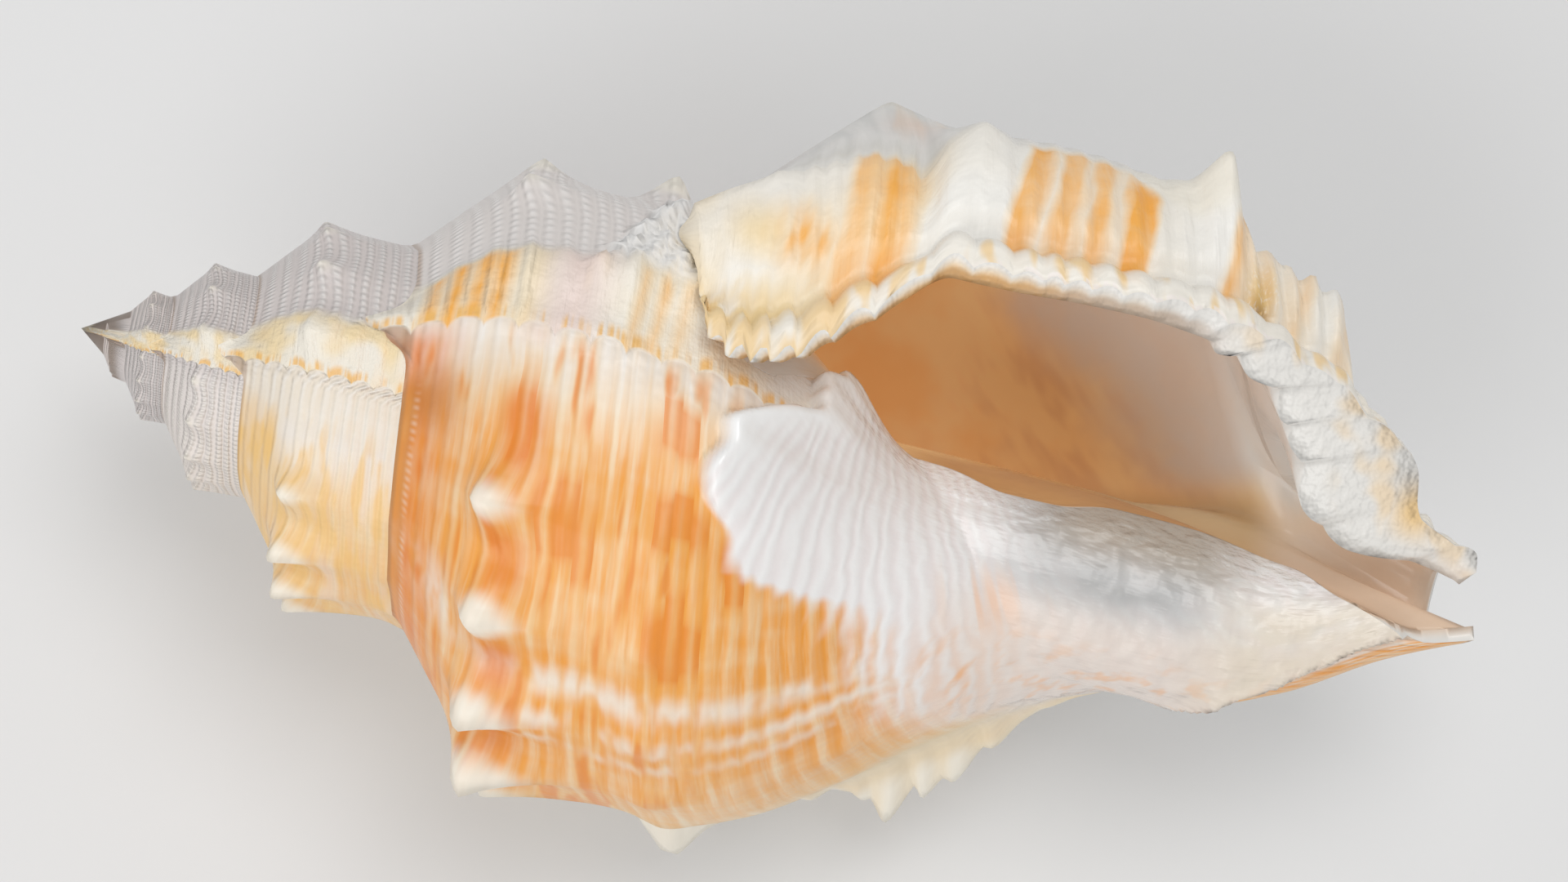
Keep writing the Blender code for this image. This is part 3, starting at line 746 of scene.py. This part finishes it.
# How much the cords are beaded, by growth.
BEADED = [(-5, 1), (-2.4, 1), (-1.9, .9), (-1.87, .08), (-1.6, .12), (-1.41, .3), (-1.39, 1), (-.96, .9),
          (-.93, .06), (-.6, .2), (-.48, .15), (0, .1)]
# Deep orange patches on the last whorl: growth, half length in turns, then place and half width in
# shoulder radii.
PATCHES = ((-.887, .045, .42, .09), (-.907, .034, .95, .13), (-.853, .032, .98, .16), (-.842, .05, .6, .2),
           (-.85, .035, 1.17, .1), (-.79, .035, 1.0, .15))
# Growth, half width and strength of the pale bands across the last whorl.
PAUSES = ((-.753, .014, 1), (-.73, .009, .9), (-.712, .008, .6))
# How orange the front varix's face is along the axis, in millimetres.
FRONT_BARS = [(18.6, 0), (19.4, .9), (20, .4), (20.6, 1), (21.2, .45), (21.8, 1), (22.4, .45), (23, .9),
              (23.9, .1), (25.5, 0), (29.9, 0), (30.5, .6), (31.1, .1), (31.7, .6), (32.3, .1), (33, .5),
              (33.8, 0)]
# How orange the lip's face is along the axis, in millimetres.
LIP_BARS = [(33.5, .1), (37.5, .05), (39.6, .1), (40.4, .85), (41.6, .55), (42.4, .95), (43.5, .7), (44.4, 0),
            (48.5, 0), (49.1, 1), (50.1, .75), (50.7, .2), (51.2, .8), (52, .8), (52.4, .25), (52.9, .9),
            (53.6, .85), (54.2, .3), (54.8, .3), (55.2, 1), (56.2, .95), (56.9, .05), (60.4, 0), (61.1, .9),
            (62.1, .3), (63.4, .4), (64, .15), (65.4, .5), (66.2, .1), (67.3, 0), (68.2, .5), (69.5, .1)]


def outer_places(w):
    """Where a point of the outer skin lies, and the masks that its finishes share.

    s is the place below the seam in shoulder radii, d the turns past the nearest varix's edge, and
    count the knobs passed; y runs across the shell, in millimetres from its middle.
    """
    k = SimpleNamespace()
    coil, near = w.node("UVMap", {"uv_map": "coil"}), w.node("UVMap", {"uv_map": "near"})
    place = w.node("TexCoord", {}, {}, OBJECT_PLACE)
    k.n, k.s = w.part(coil, 0), w.part(coil, 1)
    k.d, k.count = w.part(near, 0), w.part(near, 1)
    k.a, k.y = w.part(place, 0) * (1 / MM) + MIDDLE[0], w.part(place, 1) * (1 / MM)
    masks = [w.node("Attribute", {"attribute_name": name}, {}, FACTOR) for name in MASKS]
    k.spread, k.crown, k.fringe = masks
    k.drift = (w.noise(k.n * 9, k.s * 7) - .5) * .03 + (w.noise(k.n * 40, k.s * 5) - .5) * .012
    k.cord = ((k.s + k.drift) * (.8 + .2 * k.n.rise(-1.9, -1.88))).ridge(CORD)
    k.fine = (k.s + k.drift).ridge(CORD / 2.0, .01)
    k.beads = (k.n + (w.noise(k.n * 20, k.s * 9) - .5) * .005).ridge(1 / 135)
    k.along = w.node("MapRange", {}, {"Value": k.n, "From Min": -5.0, "From Max": 0.0})
    k.beaded = k.along.ramp(growth_stops([(n, (v,) * 3) for n, v in BEADED]))
    k.which = w.math("ROUND", (k.s + k.drift) / CORD)
    k.line = w.noise(k.n * 7, k.which * 3.7, 0, 1).rise(.4, .62) * (1 - .45 * k.s.rise(.5, .9))
    k.swing = (w.noise(k.n * 6, k.s * 2, 9, 1) - .5) * .022
    k.last = k.n.rise(-.95, -.93) * (1 - .8 * k.n.rise(-.6, -.5)) * (1 - k.n.rise(-.12, -.08))
    k.crust = k.n.rise(-1.16, -1.12) * (1 - k.n.rise(-.985, -.965))
    k.crust = k.crust * (k.a + (k.n + 1.017) * 33).rise(28, 28.8)
    k.edge = k.d + .005 * abs(w.math("SINE", k.s * (np.pi / (2 * CORD)))) ** .7
    k.new = k.n.rise(-.3, -.2)
    k.face = (k.d + .014 * k.new).rise(-.066, -.048) * (1 - k.edge.rise(-.0015, .0015))
    k.front = k.n.rise(-1.02, -1.0) * (1 - k.n.rise(-.93, -.9))
    return k


def corded_color(w, k):
    """The ground between the cords, their pale crests, and the penultimate whorl's amber."""
    n, s, smooth = k.n, k.s, 1 - k.beaded
    streak = w.noise(n * 15, s * 30, 0, 3).rise(.45, .66)
    bands = w.noise(n * 30, s * 2.2, 4, 2).rise(.46, .7)
    top = (1 - n.rise(-.92, -.87)) * n.rise(-.945, -.935)
    pale = (k.cord ** 2.2) * (.12 + .34 * k.line * smooth + .6 * k.beaded)
    pale = pale * (1 - k.beaded * (.5 - .5 * k.beads))
    pale = pale + (k.fine ** 3.0) * .12 * smooth + (streak * .4 + bands * .34 + top * .25) * smooth
    color = w.mix(k.along.ramp(growth_stops(GROUND)), k.along.ramp(growth_stops(CREST)), pale.at_most(1.0))
    second = n.rise(-1.87, -1.82) * (1 - n.rise(-1.46, -1.42))
    amber = w.noise(n * 14, s * 10, 21).rise(.46, .6) * .75 + (1 - s.rise(.05, .32)) * .8
    color = w.mix(color, (.9, .58, .22), amber.at_most(1.0) * second)
    pallor = w.noise(n * 10, s * 6, 23).rise(.5, .66) * second
    return w.mix(color, (.87, .84, .82), pallor * .35)


def patched(w, k, color):
    """Pale bands and deep orange patches on the last whorl, and the white deposit behind the lip."""
    n, s = k.n, k.s
    for pause, width, strength in PAUSES:
        band = (n + k.swing + k.cord * .0022).hill(pause, width) * strength
        band = band * w.noise(n * 20, s * 9, 3).rise(.34, .56)
        color = w.mix(color, (.92, .85, .75), band * .8 * s.rise(.3, .42))
    ramp = n.hill(-.775, .035) * (1 - s.rise(.26, .36)) * w.noise(n * 30, s * 12, 25).rise(.35, .55)
    color = w.mix(color, (.92, .85, .75), ramp * .7)
    color = w.mix(color, (.97, .96, .94), k.crust * .95)
    dash = w.noise(n * 12, s * 9, 7, 2).rise(.5, .64) * (1 - s.rise(.9, 1.4))
    ragged = n + k.swing + (w.noise(k.which * 1.7, n * 9, 31, 1) - .5) * .075
    lane = k.which * (.75 * CORD) + (s + k.drift) * .25
    for growth, long, at, wide in PATCHES:
        patch = ragged.hill(growth, long) * lane.hill(at, wide)
        dash = dash.at_least((patch * 1.9).at_most(1.0))
    dash = dash * k.last * (1 - .6 * (k.cord ** 2.0) * k.line)
    return w.mix(color, w.mix((.93, .58, .18), (.84, .27, .03), dash), dash * .84)


def seamed(w, k, color):
    """Dark orange along the seams and between the last whorl's knobs, and the beaded foot of its start."""
    n, s, last = k.n, k.s, k.last
    between = abs(w.math("FRACT", k.count) - .5)
    dark = (1 - s.rise(.04, .26)) * .85 + s.hill(.44, .12) * (1 - between.rise(.12, .42)) * .9
    dark = (dark * last * (.25 + 1.0 * w.noise(n * 30, s * 16))).at_most(1.0)
    color = w.mix(color, DEEP_ORANGE, dark)
    back = n.hill(-.34, .2) * s.hill(.29, .08) * w.noise(n * 20, s * 12, 24).rise(.3, .5)
    color = w.mix(color, (.86, .45, .14), back * .8)
    # Deep orange with painted shade: dark red-brown in the funnel below the spur of the varix near growth
    # -.94, at the seam.
    funnel_orange_and_shade = n.hill(-.893, .035) * (1 - s.rise(.08, .28)) * n.rise(-.94, -.92)
    color = w.mix(color, (.6, .2, .03), funnel_orange_and_shade * .75)
    edging = last * (1 - n.rise(-.72, -.66)) * n.rise(-.91, -.88)
    color = w.mix(color, (.74, .33, .08), (1 - s.rise(.03, .075)) * edging * .6)
    pearls = (s + k.drift * .3).hill(.055, .018) * n.ridge(1 / 165) * w.noise(n * 60, s * 9, 26).rise(.3, .5)
    color = w.mix(color, (.93, .8, .68), pearls * edging * .35)
    return w.mix(color, (.35, .2, .1), (1 - s.rise(.004, .022)) * .55)


def face_bars(w, k):
    """How orange the face of each varix is."""
    n, s, a, new, front = k.n, k.s, k.a, k.new, k.front
    bars = w.noise(s * 7 + w.math("ROUND", n * 2.1) * 7.3, n * 12, 0, 2).rise(.5, .72) * .75
    shaken = a + (w.noise(n * 30, a * .5, 14) - .5) * 1.6
    lip_bars = shaken.table(LIP_BARS, 80)
    flame = a.hill(38.4, 3.6) * k.y.hill(11.6, 3.4)
    flame = flame * (.5 + .6 * w.noise(a * 1.3, k.y * .4, 29, 1).rise(.2, .8))
    lip_bars = lip_bars.at_least(flame.at_most(1.0)) * new
    bars = bars * (1 - front * .6) * (.35 + .65 * n.rise(-1.45, -1.4)) + a.table(FRONT_BARS, 40) * front
    bars = (bars * (1 - new) + lip_bars) * (k.d + .014 * new).rise(-.06, -.045) * (1 - k.crown.rise(.3, .8))
    return bars * (.75 + .5 * w.noise(n * 90, s * 9)) * (.8 + .3 * w.noise(s * 60, n * 8))


def varix_faced(w, k, color):
    """The varices' cream faces with their stains and bars, the white knobs and the scalloped edges."""
    n, s, a, y, d, new, front = k.n, k.s, k.a, k.y, k.d, k.new, k.front
    bars = face_bars(w, k)
    stain = w.noise(n * 26, s * 4, 8, 1).rise(.4, .62) * (.8 - .3 * new) * (1 - .85 * new * a.rise(43, 46))
    stain = stain * (1 - .85 * front) * (1 - .6 * n.hill(-.5, .1)) + front * a.hill(24.8, 1.4) * .5
    stain = stain.at_least(a.hill(35.8, 3) * y.hill(11.4, 2.6) * new * .8)
    corner = (1 - a.rise(37, 43)) * new * w.noise(n * 60, a * .5, 6).rise(.3, .5) * d.rise(-.032, -.016)
    skin = w.mix(w.mix((.89, .84, .74), (.92, .9, .85), new), (.92, .72, .4), stain.at_least(corner))
    skin = w.mix(skin, (.84, .7, .64), front * a.hill(27, 3.2))
    color = w.mix(color, w.mix(skin, w.mix((.97, .7, .3), (.97, .46, .09), bars), bars * 1.05), k.face)
    dirt = a.hill(63, 1.4) * d.hill(-.024, .03) * new
    color = w.mix(color, (.84, .57, .22), dirt * w.noise(a * 6, n * 400, 15).rise(.3, .5))
    pit = a.hill(63.2, .8) * d.hill(-.016, .012) * new * w.noise(a * 3, n * 200, 15).rise(.35, .5)
    color = w.mix(color, (.22, .09, .015), pit)
    color = w.mix(color, (.93, .88, .77), k.crown.rise(.45, 1) * .9)
    blush = (w.noise(s * 22, n * 40, 5, 1) + .16 * (1 - a.rise(41, 44))).rise(.5, .66)
    color = w.mix(color, w.mix((.9, .86, .78), (.9, .62, .27), blush * (.45 + .35 * new)), k.fringe * .9)
    flange = n.hill(-.545, .06) * s.rise(1.15, 1.3) * (1 - s.ridge(.085, -.371))
    return w.mix(color, (.9, .74, .5), flange * .5)


def glazed(w, k, color):
    """The inner lip's wrinkled white glaze; the whorl's orange glows through its thin parts."""
    n, a = k.n, k.a
    inset = (k.spread - .5) * 8
    # Pale veil where the glaze meets the older whorl, greyed and spread to stand also for painted shade above
    # the callus's edge.
    veil_and_shade = (1 - n.rise(-.5, -.4)) * a.hill(39.6, 3.6) * k.y.hill(5.4, 4)
    color = w.mix(color, (.85, .82, .79), (veil_and_shade * 1.6).at_most(1.0) * .9)
    color = w.mix(color, (.9, .83, .79), inset.rise(-4, 0) * a.rise(45, 51) * .7)
    fan = w.math("ARCTAN2", a - 43.9, 12.8 - k.y)
    sway = w.noise(n * 14, a * .35) * .12 + w.noise(n * 45, a * .9) * .015
    k.wrinkle = (fan + sway).ridge(.052)
    k.calm = (1 - inset.rise(1.0, 3.6)) * (1 - n.rise(-.915, -.875))
    low = n.rise(-.86, -.8)
    soft = .4 + 1.8 * low
    k.glaze = (inset + (k.wrinkle - .5) * 1.5 * low).rise(0 - soft, soft) * (1 - n.rise(-.46, -.42))
    thin = n.rise(-.82, -.7)
    glow = w.noise(n * 26 + a * .3, a * .6, 2).rise(.5, .7) * thin
    glow = glow * .6 + (1 - k.wrinkle) * thin * (1 - a.rise(50, 58)) * .4
    ember = w.noise(fan * 16, a * .12, 22).rise(.52, .66) * a.hill(53, 4.5) * n.hill(-.82, .08)
    grey = (.75 + .25 * w.noise(n * 12, a * .25, 11).rise(.3, .6)) * a.rise(49, 57)
    grey = grey * (1 - .85 * a.rise(63, 68)) * (1 - n.rise(-.89, -.78))
    warm = n.rise(-.88, -.8) * a.rise(48, 54)
    # Painted shade: brownish grey along the columella's inner edge, where it turns into the hollow.
    brink_shade = (1 - n.rise(-.98, -.9)) * a.rise(53, 58) * (1 - a.rise(63, 69))
    tan = (.55 + .45 * w.noise(n * 14, a * .3, 12).rise(.3, .6)) * a.rise(63, 69) * n.rise(-1.0, -.88)
    white = w.mix(w.mix((.89, .84, .83), (.94, .93, .92), k.wrinkle), (.97, .97, .96), k.calm)
    for tint, share in (((.46, .46, .455), grey), ((.77, .66, .58), warm * .75),
                        ((.5, .43, .35), brink_shade * .75), ((.88, .48, .24), glow),
                        ((.9, .58, .4), ember * .7), ((.78, .69, .56), tan * .85)):
        white = w.mix(white, tint, share)
    return w.mix(color, white, k.glaze)


def outer_height(w, k):
    """Fine relief of the outer skin: cords, beads, the crust, growth lines and the glaze's wrinkles."""
    n, s, a = k.n, k.s, k.a
    face = k.face * (1 - k.glaze)
    ripple = (w.noise(n * 15, a * .45, 6, 1) * 3.2 + w.noise(n * 34, a * 1.3, 16, 1) * .5) * a.rise(50, 60)
    pimples = w.noise(n * 60, a * .9, 27, 0).rise(.4, .8) * a.rise(50, 56) * (1 - n.rise(-.97, -.9)) * .45
    fans = k.wrinkle * (.2 - .16 * a.rise(48, 58)) * (1 - k.calm)
    height = k.bare * (k.cord * (.25 + .2 * k.beaded) + k.fine * .1 + k.cord * k.beads * k.beaded * .5)
    height = height + w.noise(n * 80, a * 1.6, 17) * k.crust * .8
    height = height + k.cord * face * k.front * (1 - a.rise(24, 25.5)) * (1 - k.edge.rise(-.012, -.004)) * 1.1
    grain = w.noise(n * 150, s * 22, 1) * .8 + w.noise(s * 55, n * 25, 1) * .5
    return height + k.glaze * (fans + ripple + pimples) + w.noise(n * 60, s * 8, 1) * .5 + grain * face


def outer_finish():
    """Beaded cords on the spire, orange patches on the last whorl, white glaze at the aperture."""
    material, w, join = finish("shell_outer")
    k = outer_places(w)
    color = seamed(w, k, patched(w, k, corded_color(w, k)))
    color = glazed(w, k, varix_faced(w, k, color))
    rim = k.edge.rise(-.011, -.004) * (1 - k.edge.rise(-.0015, 0))
    rim = rim * w.noise(k.s * 25, k.n * 3, 13).rise(.42, .6)
    color = w.mix(color, (.9, .5, .12), rim * (1 - k.new) * (1 - k.glaze) * .8)
    k.bare = (1 - k.glaze) * (1 - k.face)
    rough = .3 + .1 * k.bare + .1 * k.face * (1 - k.glaze) - .06 * k.glaze
    coat = .15 + .25 * k.glaze + .1 * k.bare
    join(color, rough, outer_height(w, k), BUMP_OUTSIDE, coat, .18)
    return material


def deep_inside(w, x, y, a, rise, depth):
    """The colour deep in the hollow, and how much of it is grey."""
    blotch = w.noise(x * 160, y * 160, depth * 3, 3)
    above = rise - 1.6 - (a - 54.2) * .19 + 2.0 * a.rise(66, 69)
    cool = (a + (rise - 13) * 1.2 + (blotch - .5) * 14).rise(48, 58) * (1 - a.rise(68, 73))
    cool = cool * above.rise(.6, 3.8)
    deep = w.mix((1, .74, .4), (.97, .62, .28), blotch.rise(.36, .62))
    streaks = w.noise((x + y) * 380, (x - y) * 130, 28, 2).rise(.42, .68) * a.rise(46, 52)
    deep = w.mix(w.mix(deep, (.76, .47, .27), streaks * .6), (.62, .58, .54), cool * (.9 - .25 * streaks))
    # Painted shade: darker orange-brown low in the hollow, along the columella.
    low = (1 - above.rise(.2, 2.4)) * a.rise(54, 60)
    return w.mix(w.mix(deep, (.62, .44, .25), low), (.88, .73, .59), a.rise(66, 70) * (1 - cool)), cool


def inner_finish():
    """The hollow: white at the edge, orange deep inside and greyer towards the canal."""
    material, w, join = finish("shell_inner")
    coil, place = w.node("UVMap", {"uv_map": "coil"}), w.node("TexCoord", {}, {}, OBJECT_PLACE)
    depth, along = w.part(coil, 0), w.part(coil, 1)
    x, y = w.part(place, 0), w.part(place, 1)
    a, rise = x * (1 / MM) + MIDDLE[0], y * (1 / MM)
    lip_side = along.rise(.6, .66)
    deep, cool = deep_inside(w, x, y, a, rise, depth)
    inner_side = depth.rise(0, .05) * a.rise(41, 45) + depth.rise(.12, .25) * (1 - a.rise(41, 45))
    thin = .1 * (1 - a.rise(58, 64))
    near_edge = (depth + thin).rise(.1, .3 - thin * 1.2) * lip_side + inner_side * (1 - lip_side)
    color = w.mix((.83, .81, .77), deep, near_edge * (.5 + .5 * (1 - cool)))
    # Painted shade: the band of the inner wall beside the columella faces the lamps, so its colour is
    # darkened here.
    shade_on_lit_band = (1 - lip_side) * depth.rise(.01, .05) * (1 - depth.rise(.2, .4)) * a.rise(44, 50)
    color = w.mix(color, (.58, .3, .12), shade_on_lit_band * .85 * (1 - .6 * a.rise(62, 68)))
    # Painted shade under the outer lip's edge: orange-brown, greyer towards the canal.
    under = lip_side * depth.rise(.035, .07) * (1 - depth.rise(.16, .3)) * (1 - a.rise(58, 63))
    color = w.mix(color, w.mix((.62, .34, .13), (.55, .42, .32), a.rise(49, 55)), under * .8)
    stain = w.noise(x * 420, y * 420, 3, 1).rise(.46, .64) * a.rise(58, 66) * .55
    stain = stain.at_least(a.hill(74.6, 2.2) * rise.hill(6.1, 2.4) * 1.1)
    color = w.mix(color, (.93, .66, .34), stain * (1 - depth.rise(.03, .09)) * lip_side)
    warts = w.noise(x * 900, y * 900, 2, 1) * 2.2 + w.noise(x * 2300, y * 2300, 4, 1) * 1.6
    height = w.noise(x * 500, y * 500, depth * 9) + warts * (1 - depth.rise(.08, .14)) * lip_side
    # Painted light: deeper in, the hollow's own colour glows from the emission socket to lift its shade,
    # weaker towards the canal.
    glow = w.mix(BLACK, color, depth.rise(.06, .3) * (1 - .75 * a.rise(46, 56)))
    join(color, .24, height, BUMP_INSIDE, .2, .15, (glow, PAINTED_GLOW))
    return material


def plain(name, color, rough):
    material = bpy.data.materials.new(name)
    material.use_nodes = True
    surface = material.node_tree.nodes["Principled BSDF"]
    surface.inputs["Base Color"].default_value = (*color, 1)
    surface.inputs["Roughness"].default_value = rough
    return material


def floor():
    bm = bmesh.new()
    bmesh.ops.create_grid(bm, x_segments=1, y_segments=1, size=1.5)
    mesh = bpy.data.meshes.new("floor")
    bm.to_mesh(mesh)
    bm.free()
    piece = bpy.data.objects.new("floor", mesh)
    bpy.context.scene.collection.objects.link(piece)
    piece.data.materials.append(plain("floor", (.8, .8, .8), .6))


def lamp(name, energy, size, place, target=(0, 0, .015)):
    light = bpy.data.lights.new(name, "AREA")
    light.energy, light.size = energy, size
    piece = bpy.data.objects.new(name, light)
    bpy.context.scene.collection.objects.link(piece)
    piece.location = place
    piece.rotation_euler = (Vector(target) - Vector(place)).to_track_quat("-Z", "Y").to_euler()


def lights():
    world = bpy.data.worlds.new("studio")
    bpy.context.scene.world = world
    world.use_nodes = True
    world.node_tree.nodes["Background"].inputs["Color"].default_value = (1, 1, 1, 1)
    world.node_tree.nodes["Background"].inputs["Strength"].default_value = .5
    lamp("key", .5, .2, (.03, .13, .4))
    lamp("fill", .52, .3, (-.12, -.26, .28))


def camera():
    """Looks straight down on the aperture, with the coil's axis falling to the right."""
    data = bpy.data.cameras.new("camera")
    data.lens, data.sensor_width, data.clip_start = 120, 36, .01
    piece = bpy.data.objects.new("camera", data)
    bpy.context.scene.collection.objects.link(piece)
    lie = Matrix.Rotation(np.radians(180 - REST_ROLL), 4, "X")
    slope = Matrix.Rotation(np.radians(SLOPE), 4, "Z")
    at = (lie @ Vector(VIEW_CENTRE) - Vector(MIDDLE)) * MM
    piece.matrix_world = Matrix.Translation(at) @ lie @ slope @ Matrix.Translation((0, 0, VIEW_HEIGHT))
    bpy.context.scene.camera = piece


bpy.context.scene.view_settings.view_transform = "Standard"
skin = shell_skin()
skin.data.materials.append(outer_finish())
skin.data.materials.append(inner_finish())
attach(skin, "root")
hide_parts("shell")
floor()
lights()
camera()
